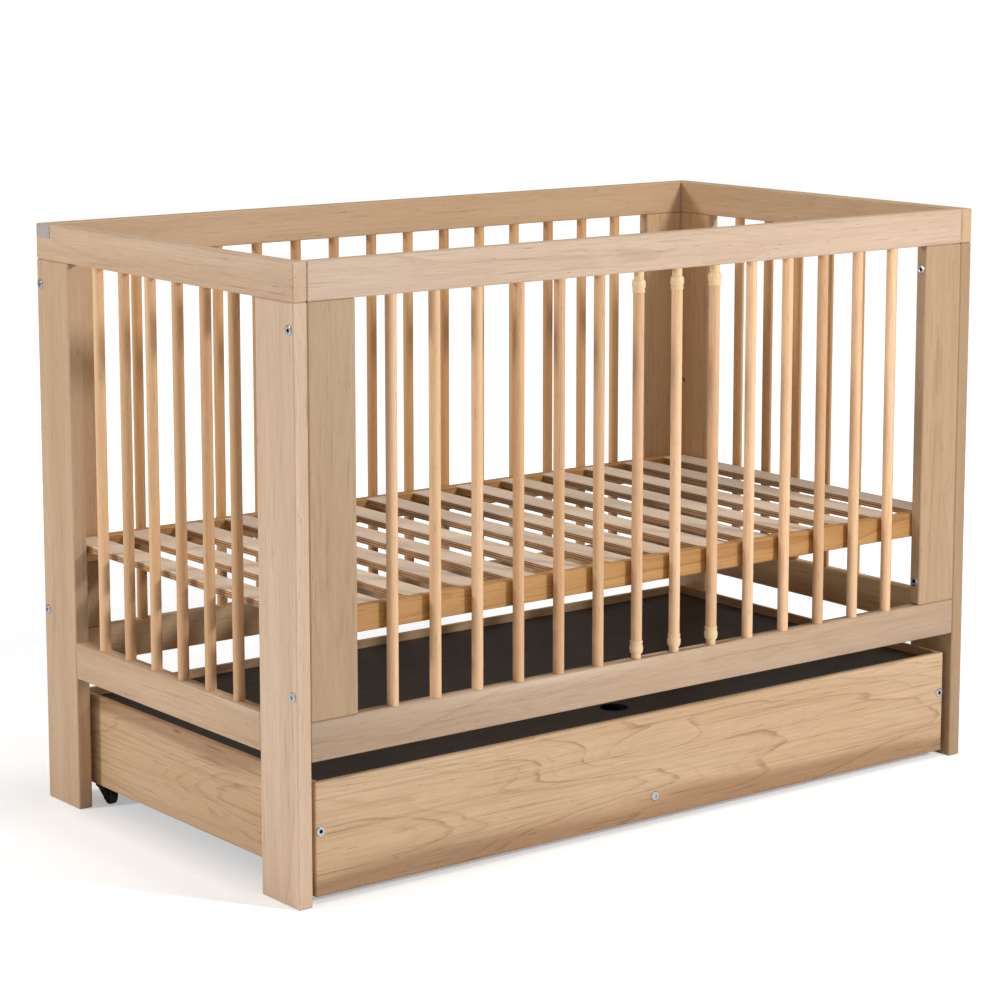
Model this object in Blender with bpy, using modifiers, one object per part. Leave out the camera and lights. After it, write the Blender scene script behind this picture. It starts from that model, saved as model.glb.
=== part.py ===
"""Baby crib for a 1200 x 600 mm mattress, in metres, +Z up, feet on Z = 0.

+X runs along the length and the drawer side faces -Y. Two end panels carry the front and back
panels on corner bolts. A slatted base hangs between them, and a lidded drawer on four swivel
casters rolls out from under it towards -Y. Three bars of the front panel lift out of their sockets.
"""

import math

import bmesh
import bpy
from mathutils import Matrix, Vector

# Overall sizes
LENGTH = 1.246
WIDTH = 0.670
HEIGHT = 0.860

# Boards of the frame
END_T = 0.022
SIDE_T = 0.020
POST_W = 0.090
STILE_W = 0.075
TOP_RAIL_H = 0.052
LOWER_RAIL_H = 0.054
LOWER_RAIL_Z = 0.198
EDGE_EASE = 0.0015

# Spindles and the three removable bars
SIDE_SPINDLES = 14
END_SPINDLES = 6
REMOVABLE = (6, 7, 8)
SPINDLE_D = 0.016
SPINDLE_SOCKET = 0.015
BAR_COLLAR_H = 0.018
BAR_NECK_D = 0.0145
BAR_NECK_LOW = 0.008
BAR_NECK_TOP = 0.012
BAR_PEG_LOW = 0.008
BAR_PEG_TOP = 0.012
BAR_LIFT = 0.009

# Tenons that join the frame boards
TENON_T = 0.009
TENON_LONG = 0.022
POST_TENON_W = 0.048
STILE_TENON_W = 0.040
RAIL_TENON_H = 0.034

# Slatted base
BASE_TOP = 0.393
BEAM_H = 0.036
BEAM_T = 0.020
SLATS = 14
SLAT_W = 0.044
SLAT_T = 0.011
SLAT_SEAT = 0.008
SLAT_MARGIN = 0.004
BASE_STEP = 0.146
STUD_D = 0.008
STUD_LONG = 0.010

# Corner bolts with their sleeve nuts
BOLT_FROM_RAIL = 0.036
BOLT_D = 0.006
SLEEVE_D = 0.008
SLEEVE_LONG = 0.055
BOLT_HEAD_D = 0.014
BOLT_HEAD_H = 0.002
HEX_ACROSS = 0.005
HEX_DEEP = 0.004

# Drawer
DRAWER_SIDE_GAP = 0.010
DRAWER_RECESS = 0.008
DRAWER_REAR_GAP = 0.035
DRAWER_T = 0.015
DRAWER_TOP = 0.167
DRAWER_FRONT_Z = 0.010
DRAWER_SIDE_Z = 0.032
BOTTOM_T = 0.006
GROOVE_DEEP = 0.006
BATTEN_W = 0.040
BATTEN_H = 0.014
LID_T = 0.009
LID_SINK = 0.012
LID_SEAT = 0.007
LID_PLAY = 0.001
LID_HOLE_D = 0.042
LID_HOLE_INSET = 0.078

# Swivel casters under the drawer
CASTER_INSET_X = 0.006
CASTER_INSET_Y = 0.030
CASTER_TRAIL = 0.010
CASTER_DISC_D = 0.034
CASTER_DISC_T = 0.003
CASTER_DISC_DROP = 0.003
KINGPIN_D = 0.006
WHEEL_HEADROOM = 0.0023
WHEEL_W = 0.013
WHEEL_HUB_D = 0.012
AXLE_D = 0.004
CHEEK_T = 0.002
CHEEK_TOP_W = 0.030
CHEEK_FOOT_R = 0.0055
CHEEK_FOOT_FROM = -160
CHEEK_FOOT_TO = -20
CHEEK_FOOT_STEPS = 4

# Fits
GAP = 0.0003
BORE_PLAY = 0.0006
WHEEL_PLAY = 0.0012
OVERRUN = 0.002
MERGE = 0.0001
SHARP_FROM = 40
ROUND_STEPS = 16
WHEEL_STEPS = 24

HALF_L = LENGTH / 2
HALF_W = WIDTH / 2
INNER_X = HALF_L - END_T
INNER_Y = HALF_W - SIDE_T
PANEL_X = INNER_X - GAP
TOP_RAIL_Z = HEIGHT - TOP_RAIL_H
LOWER_RAIL_TOP = LOWER_RAIL_Z + LOWER_RAIL_H
BOLT_Z = (LOWER_RAIL_TOP + BOLT_FROM_RAIL, TOP_RAIL_Z - BOLT_FROM_RAIL)
BOLT_Y = HALF_W - SIDE_T / 2
BEAM_Y = INNER_Y - GAP - BEAM_T / 2
BEAM_Z = BASE_TOP - BEAM_H / 2
DRAWER_X = INNER_X - DRAWER_SIDE_GAP
DRAWER_FRONT_Y = -HALF_W + DRAWER_RECESS
DRAWER_BACK_Y = HALF_W - DRAWER_REAR_GAP
BOX_X = DRAWER_X - DRAWER_T
BOX_FRONT_Y = DRAWER_FRONT_Y + DRAWER_T
BOX_BACK_Y = DRAWER_BACK_Y - DRAWER_T
LID_TOP = DRAWER_TOP - LID_SINK
BOTTOM_Z = DRAWER_SIDE_Z + GAP
BOTTOM_TOP = BOTTOM_Z + BOTTOM_T
CASTER_TOP = BOTTOM_Z - CASTER_DISC_DROP
WHEEL_D = CASTER_TOP - CASTER_DISC_T - WHEEL_HEADROOM

LEFT_RIGHT = {"left": -1, "right": 1}
FRONT_BACK = {"front": -1, "back": 1}
QUARTER_TURN = math.pi / 2
AXIS_TURN = {"X": Matrix.Rotation(QUARTER_TURN, 4, "Y"), "Z": Matrix.Identity(4)}
FINISHES = {
    "frame": ((0.62, 0.44, 0.29, 1.0), 0.5, 0.0),
    "spindle": ((0.70, 0.43, 0.21, 1.0), 0.45, 0.0),
    "beam": ((0.56, 0.33, 0.11, 1.0), 0.5, 0.0),
    "slat": ((0.78, 0.62, 0.47, 1.0), 0.55, 0.0),
    "drawer": ((0.60, 0.41, 0.24, 1.0), 0.5, 0.0),
    "panel": ((0.30, 0.21, 0.15, 1.0), 0.6, 0.0),
    "steel": ((0.72, 0.73, 0.75, 1.0), 0.3, 1.0),
    "plastic": ((0.02, 0.02, 0.022, 1.0), 0.45, 0.0),
}

PARTS = "baby_crib"
TOOLS = "cutters"


def clear_scene():
    """Empties the file of objects and makes the two collections."""
    for obj in list(bpy.data.objects):
        bpy.data.objects.remove(obj, do_unlink=True)
    for name in (PARTS, TOOLS):
        collection = bpy.data.collections.new(name)
        bpy.context.scene.collection.children.link(collection)
    bpy.data.collections[TOOLS].hide_render = True


def pair(side, near, far):
    """The two coordinates on one side of the middle, lower first."""
    return sorted((side * near, side * far))


def origin_of(obj):
    """World position of an object whose parents are only ever moved."""
    total = Vector((0, 0, 0))
    while obj:
        total += obj.location
        obj = obj.parent
    return total


def mesh_object(name, bm):
    """An object holding a finished bmesh."""
    mesh = bpy.data.meshes.new(name)
    bm.to_mesh(mesh)
    bm.free()
    mesh.shade_smooth()
    mesh.set_sharp_from_angle(angle=math.radians(SHARP_FROM))
    return bpy.data.objects.new(name, mesh)


def finish_part(obj, finish, origin, parent):
    """Places a piece, gives it its own material and puts it in the crib's collection."""
    obj.location = Vector(origin) - origin_of(parent)
    obj.parent = parent
    colour, roughness, metallic = FINISHES[finish]
    material = bpy.data.materials.new(f"{obj.name}_{finish}")
    material.use_nodes = True
    shader = material.node_tree.nodes["Principled BSDF"]
    shader.inputs["Base Color"].default_value = colour
    shader.inputs["Roughness"].default_value = roughness
    shader.inputs["Metallic"].default_value = metallic
    obj.data.materials.append(material)
    bpy.data.collections[PARTS].objects.link(obj)
    return obj


def part(name, bm, finish, origin=(0, 0, 0), parent=None):
    """A piece whose shape was drawn in place, with its origin where it's told."""
    bmesh.ops.translate(bm, verts=bm.verts, vec=-Vector(origin))
    return finish_part(mesh_object(name, bm), finish, origin, parent)


def turned_part(name, profile, finish, origin, parent=None, steps=ROUND_STEPS, turn=0.0, ring=False):
    """A turned piece: (radius, height) points from top to bottom, screwed about local Z.

    turn swings local Z about world Y, so a quarter turn lays the piece along +X.
    """
    bm = bmesh.new()
    verts = [bm.verts.new((radius, 0, height)) for radius, height in profile]
    for two in zip(verts, verts[1:] + verts[:1] if ring else verts[1:]):
        bm.edges.new(two)
    obj = finish_part(mesh_object(name, bm), finish, origin, parent)
    obj.rotation_euler = (0, turn, 0)
    screw = obj.modifiers.new("turned", "SCREW")
    screw.steps = screw.render_steps = steps
    screw.use_merge_vertices = True
    screw.merge_threshold = MERGE
    screw.use_smooth_shade = True
    return obj


def combine(target, bm, operation):
    """Joins a hidden shape to the piece, or cuts it out, with an exact Boolean."""
    tool = mesh_object(f"{target.name}_{operation.lower()}_{len(target.modifiers)}", bm)
    bpy.data.collections[TOOLS].objects.link(tool)
    tool.hide_render = True
    tool.display_type = "WIRE"
    modifier = target.modifiers.new(tool.name, "BOOLEAN")
    modifier.operation = operation
    modifier.solver = "EXACT"
    modifier.object = tool


def add_box(bm, low, high):
    """Adds a box between two corners."""
    low, high = Vector(low), Vector(high)
    made = bmesh.ops.create_cube(bm, size=1.0)["verts"]
    bmesh.ops.scale(bm, verts=made, vec=high - low)
    bmesh.ops.translate(bm, verts=made, vec=(low + high) / 2)


def board(low, high, ease=EDGE_EASE):
    """A board with eased edges, as a bmesh."""
    bm = bmesh.new()
    add_box(bm, low, high)
    bmesh.ops.bevel(bm, geom=bm.edges[:], offset=ease, segments=1, profile=0.5, affect="EDGES")
    return bm


def add_rod(bm, start, axis, length, diameter, steps=ROUND_STEPS):
    """Adds a plain round rod that starts at a point and runs along +X or +Z."""
    centre = Vector(start) + (AXIS_TURN[axis] @ Vector((0, 0, length / 2)))
    bmesh.ops.create_cone(bm, cap_ends=True, segments=steps, radius1=diameter / 2, radius2=diameter / 2,
                          depth=length, matrix=Matrix.Translation(centre) @ AXIS_TURN[axis])


def even_gaps(opening, count, thickness):
    """Centre distance that leaves the same clear gap between all bars and both sides."""
    return (opening - count * thickness) / (count + 1) + thickness


def centred(count, pitch):
    """Positions of evenly spaced things about zero."""
    return [(index - (count - 1) / 2) * pitch for index in range(count)]


SIDE_PITCH = even_gaps(2 * (PANEL_X - STILE_W), SIDE_SPINDLES, SPINDLE_D)
END_PITCH = min(SIDE_PITCH, even_gaps(2 * (HALF_W - POST_W), END_SPINDLES, SPINDLE_D))


def add_spindles(bm, spots):
    """Fixed spindles, sunk in the lower rail and reaching into the top rail's sockets."""
    start = LOWER_RAIL_TOP - SPINDLE_SOCKET
    length = TOP_RAIL_Z + SPINDLE_SOCKET - GAP - start
    for x, y in spots:
        add_rod(bm, (x, y, start), "Z", length, SPINDLE_D)


def add_sockets(bm, spots, depth, diameter):
    """Blind holes going up into a top rail."""
    for x, y in spots:
        add_rod(bm, (x, y, TOP_RAIL_Z - OVERRUN), "Z", depth + OVERRUN, diameter + BORE_PLAY)


def end_top_rail(tag, side):
    """Full-depth rail on top of an end panel's two posts."""
    x0, x1 = pair(side, INNER_X, HALF_L)
    middle = (x0 + x1) / 2
    rail = part(f"{tag}_end_top_rail", board((x0, -HALF_W, TOP_RAIL_Z), (x1, HALF_W, HEIGHT)), "frame")
    cuts = bmesh.new()
    add_sockets(cuts, [(middle, y) for y in centred(END_SPINDLES, END_PITCH)], SPINDLE_SOCKET, SPINDLE_D)
    half_t, half_w = TENON_T / 2 + GAP, POST_TENON_W / 2 + GAP
    for face in FRONT_BACK.values():
        y = face * (HALF_W - POST_W / 2)
        add_box(cuts, (middle - half_t, y - half_w, TOP_RAIL_Z - OVERRUN),
                (middle + half_t, y + half_w, TOP_RAIL_Z + TENON_LONG + GAP))
    combine(rail, cuts, "DIFFERENCE")


def end_lower_rail(tag, side):
    """Lower rail of an end panel, with its glued spindles and a tenon at each end."""
    x0, x1 = pair(side, INNER_X, HALF_L)
    middle = (x0 + x1) / 2
    reach = HALF_W - POST_W - GAP
    rail = part(f"{tag}_end_lower_rail",
                board((x0, -reach, LOWER_RAIL_Z), (x1, reach, LOWER_RAIL_TOP)), "frame")
    extras = bmesh.new()
    add_spindles(extras, [(middle, y) for y in centred(END_SPINDLES, END_PITCH)])
    half_h = RAIL_TENON_H / 2
    centre_z = LOWER_RAIL_Z + LOWER_RAIL_H / 2
    for face in FRONT_BACK.values():
        y0, y1 = pair(face, reach - TENON_LONG, reach + TENON_LONG)
        add_box(extras, (middle - TENON_T / 2, y0, centre_z - half_h),
                (middle + TENON_T / 2, y1, centre_z + half_h))
    combine(rail, extras, "UNION")


def add_bolt_bores(bm, side, face):
    """Bores of the two corner bolts of one corner: wide in the stile, narrow in the post."""
    y = face * BOLT_Y
    for z in BOLT_Z:
        x0, x1 = pair(side, PANEL_X - STILE_W - OVERRUN, INNER_X - 2 * GAP / 3)
        add_rod(bm, (x0, y, z), "X", x1 - x0, SLEEVE_D + BORE_PLAY)
        x0, x1 = pair(side, INNER_X - GAP / 3, HALF_L + OVERRUN)
        add_rod(bm, (x0, y, z), "X", x1 - x0, BOLT_D + BORE_PLAY)


def end_post(tag, side, end, face):
    """Post of an end panel: tenon on top, mortise for the lower rail, bolt bores, base stud holes."""
    x0, x1 = pair(side, INNER_X, HALF_L)
    y0, y1 = pair(face, HALF_W - POST_W, HALF_W)
    middle, y = (x0 + x1) / 2, (y0 + y1) / 2
    top = TOP_RAIL_Z - GAP
    post = part(f"{tag}_end_{end}_post", board((x0, y0, 0), (x1, y1, top)), "frame")
    tenon = bmesh.new()
    add_box(tenon, (middle - TENON_T / 2, y - POST_TENON_W / 2, top - TENON_LONG),
            (middle + TENON_T / 2, y + POST_TENON_W / 2, top + TENON_LONG))
    combine(post, tenon, "UNION")
    cuts = bmesh.new()
    half_t, half_h = TENON_T / 2 + GAP, RAIL_TENON_H / 2 + GAP
    centre_z = LOWER_RAIL_Z + LOWER_RAIL_H / 2
    inner = HALF_W - POST_W
    my0, my1 = pair(face, inner - OVERRUN, inner + TENON_LONG + GAP)
    add_box(cuts, (middle - half_t, my0, centre_z - half_h), (middle + half_t, my1, centre_z + half_h))
    add_bolt_bores(cuts, side, face)
    sx0, sx1 = pair(side, INNER_X - OVERRUN, INNER_X + STUD_LONG + GAP)
    for z in (BEAM_Z, BEAM_Z + BASE_STEP):
        add_rod(cuts, (sx0, face * BEAM_Y, z), "X", sx1 - sx0, STUD_D + BORE_PLAY)
    combine(post, cuts, "DIFFERENCE")


def end_panels():
    """Both end panels, board by board."""
    for tag, side in LEFT_RIGHT.items():
        end_top_rail(tag, side)
        end_lower_rail(tag, side)
        for end, face in FRONT_BACK.items():
            end_post(tag, side, end, face)


def side_spots(face, removable):
    """Spindle centres of a long panel, either the fixed ones or the removable ones."""
    taken = REMOVABLE if face < 0 else ()
    spots = [(x, face * BOLT_Y) for x in centred(SIDE_SPINDLES, SIDE_PITCH)]
    return [spot for index, spot in enumerate(spots) if (index in taken) == removable]


def add_stile_tenons(bm, face, base, rise, play):
    """Tenons, or mortises with play, of both stiles about a height."""
    half_w, half_t = STILE_TENON_W / 2 + play, TENON_T / 2 + play
    for side in LEFT_RIGHT.values():
        x, y = side * (PANEL_X - STILE_W / 2), face * BOLT_Y
        add_box(bm, (x - half_w, y - half_t, base), (x + half_w, y + half_t, base + rise))


def side_rails(end, face):
    """Top rail and lower rail of a long panel; the lower one carries the fixed spindles."""
    y0, y1 = pair(face, INNER_Y, HALF_W)
    top = part(f"{end}_top_rail", board((-PANEL_X, y0, TOP_RAIL_Z), (PANEL_X, y1, HEIGHT)), "frame")
    cuts = bmesh.new()
    add_sockets(cuts, side_spots(face, False), SPINDLE_SOCKET, SPINDLE_D)
    add_sockets(cuts, side_spots(face, True), BAR_PEG_TOP + BAR_LIFT + GAP, BAR_NECK_D)
    add_stile_tenons(cuts, face, TOP_RAIL_Z - OVERRUN, OVERRUN + TENON_LONG + GAP, GAP)
    combine(top, cuts, "DIFFERENCE")
    low = part(f"{end}_lower_rail",
               board((-PANEL_X, y0, LOWER_RAIL_Z), (PANEL_X, y1, LOWER_RAIL_TOP)), "frame")
    extras = bmesh.new()
    add_spindles(extras, side_spots(face, False))
    combine(low, extras, "UNION")
    cuts = bmesh.new()
    floor = LOWER_RAIL_TOP - TENON_LONG - GAP
    add_stile_tenons(cuts, face, floor, TENON_LONG + GAP + OVERRUN, GAP)
    for x, y in side_spots(face, True):
        depth = BAR_PEG_LOW + GAP
        add_rod(cuts, (x, y, LOWER_RAIL_TOP - depth), "Z", depth + OVERRUN, BAR_NECK_D + BORE_PLAY)
    combine(low, cuts, "DIFFERENCE")


def side_stile(end, face, tag, side):
    """Upright of a long panel, tenoned into both rails and bored for the corner bolts."""
    x0, x1 = pair(side, PANEL_X - STILE_W, PANEL_X)
    y0, y1 = pair(face, INNER_Y, HALF_W)
    low, high = LOWER_RAIL_TOP + GAP, TOP_RAIL_Z - GAP
    stile = part(f"{end}_{tag}_stile", board((x0, y0, low), (x1, y1, high)), "frame")
    x, y = (x0 + x1) / 2, (y0 + y1) / 2
    tenons = bmesh.new()
    add_box(tenons, (x - STILE_TENON_W / 2, y - TENON_T / 2, low - TENON_LONG + GAP),
            (x + STILE_TENON_W / 2, y + TENON_T / 2, high + TENON_LONG - GAP))
    combine(stile, tenons, "UNION")
    bores = bmesh.new()
    add_bolt_bores(bores, side, face)
    combine(stile, bores, "DIFFERENCE")


def side_panels():
    """Front and back panels, board by board."""
    for end, face in FRONT_BACK.items():
        side_rails(end, face)
        for tag, side in LEFT_RIGHT.items():
            side_stile(end, face, tag, side)


def removable_bars():
    """Bars with a collared cap at each end; each lifts until its lower peg clears the rail."""
    neck, collar, wood = BAR_NECK_D / 2, SIDE_T / 2, SPINDLE_D / 2
    chamfer = EDGE_EASE
    base = LOWER_RAIL_TOP + BAR_NECK_LOW
    high = TOP_RAIL_Z - BAR_NECK_TOP - base
    peg_top = TOP_RAIL_Z + BAR_PEG_TOP - base
    peg_low = -BAR_NECK_LOW - BAR_PEG_LOW
    profile = [
        (0, peg_top), (neck, peg_top), (neck, high), (collar - chamfer, high), (collar, high - chamfer),
        (collar, high - BAR_COLLAR_H + chamfer), (collar - chamfer, high - BAR_COLLAR_H),
        (wood, high - BAR_COLLAR_H), (wood, BAR_COLLAR_H), (collar - chamfer, BAR_COLLAR_H),
        (collar, BAR_COLLAR_H - chamfer), (collar, chamfer), (collar - chamfer, 0), (neck, 0),
        (neck, peg_low + chamfer), (neck - chamfer, peg_low), (0, peg_low),
    ]
    for number, (x, y) in enumerate(side_spots(-1, True), 1):
        turned_part(f"removable_bar_{number}", profile, "spindle", (x, y, base))


def slat_positions():
    """Slat centres along the beams."""
    reach = PANEL_X - SLAT_MARGIN - SLAT_W / 2
    return centred(SLATS, 2 * reach / (SLATS - 1))


def base_beam(end, face):
    """Long beam of the base: a stud at each end, a seat for each slat."""
    y0, y1 = pair(face, BEAM_Y - BEAM_T / 2, BEAM_Y + BEAM_T / 2)
    beam = part(f"base_{end}_beam", board((-PANEL_X, y0, BASE_TOP - BEAM_H), (PANEL_X, y1, BASE_TOP)),
                "beam")
    studs = bmesh.new()
    for side in LEFT_RIGHT.values():
        x0, x1 = pair(side, PANEL_X - STUD_LONG, PANEL_X + STUD_LONG)
        add_rod(studs, (x0, face * BEAM_Y, BEAM_Z), "X", x1 - x0, STUD_D)
    combine(beam, studs, "UNION")
    seats = bmesh.new()
    inner = BEAM_Y - BEAM_T / 2
    sy0, sy1 = pair(face, inner - OVERRUN, inner + SLAT_SEAT + GAP)
    for x in slat_positions():
        add_box(seats, (x - SLAT_W / 2 - GAP, sy0, BASE_TOP - SLAT_T - GAP),
                (x + SLAT_W / 2 + GAP, sy1, BASE_TOP + OVERRUN))
    combine(beam, seats, "DIFFERENCE")


def slatted_base():
    """Two beams and the cross slats let into them, tops flush."""
    for end, face in FRONT_BACK.items():
        base_beam(end, face)
    reach = BEAM_Y - BEAM_T / 2 + SLAT_SEAT
    for number, x in enumerate(slat_positions(), 1):
        part(f"base_slat_{number:02d}",
             board((x - SLAT_W / 2, -reach, BASE_TOP - SLAT_T), (x + SLAT_W / 2, reach, BASE_TOP)),
             "slat")


def corner_bolts():
    """Connector bolts, each with its sleeve nut, pulling a stile against a post."""
    head, shank, sleeve = BOLT_HEAD_D / 2, BOLT_D / 2, SLEEVE_D / 2
    seat = GAP / 2
    nut = HALF_L - PANEL_X + STILE_W + seat
    chamfer = BOLT_HEAD_H / 4
    ends = (-BOLT_HEAD_H - seat, nut + BOLT_HEAD_H)
    profile = [
        (0, ends[1]), (head - chamfer, ends[1]), (head, ends[1] - chamfer), (head, nut), (sleeve, nut),
        (sleeve, nut - SLEEVE_LONG), (shank, nut - SLEEVE_LONG), (shank, -seat), (head, -seat),
        (head, ends[0] + chamfer), (head - chamfer, ends[0]), (0, ends[0]),
    ]
    hexagon = 2 * HEX_ACROSS / math.sqrt(3)
    for tag, side in LEFT_RIGHT.items():
        for end, face in FRONT_BACK.items():
            for level, z in zip(("lower", "upper"), BOLT_Z):
                y = face * BOLT_Y
                bolt = turned_part(f"bolt_{end}_{tag}_{level}", profile, "steel",
                                   (side * HALF_L, y, z), turn=-side * QUARTER_TURN)
                sockets = bmesh.new()
                for tip, inward in zip(ends, (1, -1)):
                    x0, x1 = pair(side, HALF_L - tip + inward * OVERRUN, HALF_L - tip - inward * HEX_DEEP)
                    add_rod(sockets, (x0, y, z), "X", x1 - x0, hexagon, steps=6)
                combine(bolt, sockets, "DIFFERENCE")


def drawer_boards(drawer):
    """Front, back and sides: the front is grooved and the rest rebated for the bottom, all for the lid."""
    x, t = DRAWER_X, DRAWER_T
    plans = {
        "drawer_front": ((-x, DRAWER_FRONT_Y, DRAWER_FRONT_Z), (x, BOX_FRONT_Y, DRAWER_TOP)),
        "drawer_back": ((-x, BOX_BACK_Y, DRAWER_SIDE_Z), (x, DRAWER_BACK_Y, DRAWER_TOP)),
        "drawer_left_side": ((-x, BOX_FRONT_Y + GAP, DRAWER_SIDE_Z),
                             (-x + t, BOX_BACK_Y - GAP, DRAWER_TOP)),
        "drawer_right_side": ((x - t, BOX_FRONT_Y + GAP, DRAWER_SIDE_Z),
                              (x, BOX_BACK_Y - GAP, DRAWER_TOP)),
    }
    for name, (low, high) in plans.items():
        piece = part(name, board(low, high), "drawer", origin=origin_of(drawer), parent=drawer)
        cuts = bmesh.new()
        seat = BOTTOM_Z - GAP if name == "drawer_front" else DRAWER_SIDE_Z - OVERRUN
        add_box(cuts, (-BOX_X - GROOVE_DEEP, BOX_FRONT_Y - GROOVE_DEEP, seat),
                (BOX_X + GROOVE_DEEP, BOX_BACK_Y + GROOVE_DEEP, BOTTOM_TOP + GAP))
        add_box(cuts, (-BOX_X - LID_SEAT, BOX_FRONT_Y - LID_SEAT, LID_TOP - LID_T - GAP),
                (BOX_X + LID_SEAT, BOX_BACK_Y + LID_SEAT, DRAWER_TOP + OVERRUN))
        combine(piece, cuts, "DIFFERENCE")


def drawer_panels(drawer):
    """Bottom panel in its seat, the batten across it, and the lift-out lid with its finger hole."""
    depth = GROOVE_DEEP - GAP
    bottom = part("drawer_bottom",
                  board((-BOX_X - depth, BOX_FRONT_Y - depth, BOTTOM_Z),
                        (BOX_X + depth, BOX_BACK_Y + depth, BOTTOM_TOP), ease=GAP),
                  "panel", origin=origin_of(drawer), parent=drawer)
    bores = bmesh.new()
    for _, x, y in caster_spots():
        add_rod(bores, (x, y, BOTTOM_Z - OVERRUN), "Z", BOTTOM_T + 2 * OVERRUN, KINGPIN_D + BORE_PLAY)
    combine(bottom, bores, "DIFFERENCE")
    part("drawer_batten",
         board((-BATTEN_W / 2, BOX_FRONT_Y + GAP, BOTTOM_TOP + GAP),
               (BATTEN_W / 2, BOX_BACK_Y - GAP, BOTTOM_TOP + GAP + BATTEN_H)),
         "drawer", origin=origin_of(drawer), parent=drawer)
    reach = LID_SEAT - LID_PLAY
    centre = (0, (BOX_FRONT_Y + BOX_BACK_Y) / 2, LID_TOP)
    lid = part("drawer_lid",
               board((-BOX_X - reach, BOX_FRONT_Y - reach, LID_TOP - LID_T),
                     (BOX_X + reach, BOX_BACK_Y + reach, LID_TOP)),
               "panel", origin=centre, parent=drawer)
    hole = bmesh.new()
    spot = (0, BOX_FRONT_Y + LID_HOLE_INSET, LID_TOP - LID_T - OVERRUN)
    add_rod(hole, spot, "Z", LID_T + 2 * OVERRUN, LID_HOLE_D, steps=WHEEL_STEPS)
    combine(lid, hole, "DIFFERENCE")


def caster_spots():
    """Name and kingpin position of each caster."""
    rows = {"front": BOX_FRONT_Y + CASTER_INSET_Y, "back": BOX_BACK_Y - CASTER_INSET_Y}
    return [(f"{end}_{tag}", side * (BOX_X - CASTER_INSET_X), y)
            for end, y in rows.items() for tag, side in LEFT_RIGHT.items()]


def cheek_outline():
    """Side view of a fork cheek about the kingpin's axis: (y, z) from under the disc to the axle."""
    half = CHEEK_TOP_W / 2
    top = CASTER_TOP - CASTER_DISC_T / 2
    swing = (CHEEK_FOOT_TO - CHEEK_FOOT_FROM) / CHEEK_FOOT_STEPS
    turns = (CHEEK_FOOT_FROM + step * swing for step in range(CHEEK_FOOT_STEPS + 1))
    foot = [(-CASTER_TRAIL + CHEEK_FOOT_R * math.cos(turn), WHEEL_D / 2 + CHEEK_FOOT_R * math.sin(turn))
            for turn in map(math.radians, turns)]
    return [(-half, top), *foot, (half, top)]


def add_sheet(bm, outline, x, y, thickness):
    """Adds a flat sheet standing across X, from a filled and extruded 2D curve."""
    curve = bpy.data.curves.new("sheet", "CURVE")
    curve.dimensions = "2D"
    curve.fill_mode = "BOTH"
    curve.extrude = thickness / 2
    spline = curve.splines.new("POLY")
    spline.points.add(len(outline) - 1)
    for point, (across, height) in zip(spline.points, outline):
        point.co = (across, height, 0, 1)
    spline.use_cyclic_u = True
    guide = bpy.data.objects.new("sheet", curve)
    bpy.data.collections[TOOLS].objects.link(guide)
    graph = bpy.context.evaluated_depsgraph_get()
    mesh = bpy.data.meshes.new_from_object(guide.evaluated_get(graph))
    stand = Matrix(((0, 0, 1, x), (1, 0, 0, y), (0, 1, 0, 0), (0, 0, 0, 1)))
    mesh.transform(stand)
    bm.from_mesh(mesh)
    bmesh.ops.remove_doubles(bm, verts=bm.verts, dist=MERGE / 10)
    bmesh.ops.recalc_face_normals(bm, faces=bm.faces)
    bpy.data.objects.remove(guide, do_unlink=True)
    bpy.data.meshes.remove(mesh)


def caster(label, x, y, drawer):
    """Swivel fork on its kingpin, with a wheel turning on the fork's axle."""
    disc, pin = CASTER_DISC_D / 2, KINGPIN_D / 2
    pin_top = CASTER_DISC_DROP + BOTTOM_T - GAP
    profile = [(0, pin_top), (pin, pin_top), (pin, 0), (disc, 0), (disc, -CASTER_DISC_T),
               (0, -CASTER_DISC_T)]
    fork = turned_part(f"caster_{label}_fork", profile, "plastic", (x, y, CASTER_TOP), drawer)
    cheeks = bmesh.new()
    inner = WHEEL_W / 2 + WHEEL_PLAY
    for side in LEFT_RIGHT.values():
        add_sheet(cheeks, cheek_outline(), x + side * (inner + CHEEK_T / 2), y, CHEEK_T)
    combine(fork, cheeks, "UNION")
    axle = bmesh.new()
    axle_long = 2 * inner + 3 * CHEEK_T
    centre = (x, y - CASTER_TRAIL, WHEEL_D / 2)
    add_rod(axle, (x - axle_long / 2, *centre[1:]), "X", axle_long, AXLE_D)
    combine(fork, axle, "UNION")
    bore, hub, rim, half = (AXLE_D + BORE_PLAY) / 2, WHEEL_HUB_D / 2, WHEEL_D / 2, WHEEL_W / 2
    dish, tread, shoulder = half - EDGE_EASE, half - 2 * EDGE_EASE, rim - 2 * EDGE_EASE
    profile = [(bore, half), (hub, half), (hub, dish), (shoulder, dish), (rim, tread), (rim, -tread),
               (shoulder, -dish), (hub, -dish), (hub, -half), (bore, -half)]
    turned_part(f"caster_{label}_wheel", profile, "plastic", centre, fork, steps=WHEEL_STEPS,
                turn=QUARTER_TURN, ring=True)


def rolling_drawer():
    """The drawer and its casters, all carried by one empty at the drawer's front."""
    drawer = bpy.data.objects.new("drawer_carrier", None)
    drawer.location = (0, DRAWER_FRONT_Y, 0)
    bpy.data.collections[PARTS].objects.link(drawer)
    drawer_boards(drawer)
    drawer_panels(drawer)
    for label, x, y in caster_spots():
        caster(label, x, y, drawer)


def build():
    """The whole crib."""
    clear_scene()
    end_panels()
    side_panels()
    removable_bars()
    slatted_base()
    corner_bolts()
    rolling_drawer()


build()
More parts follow.
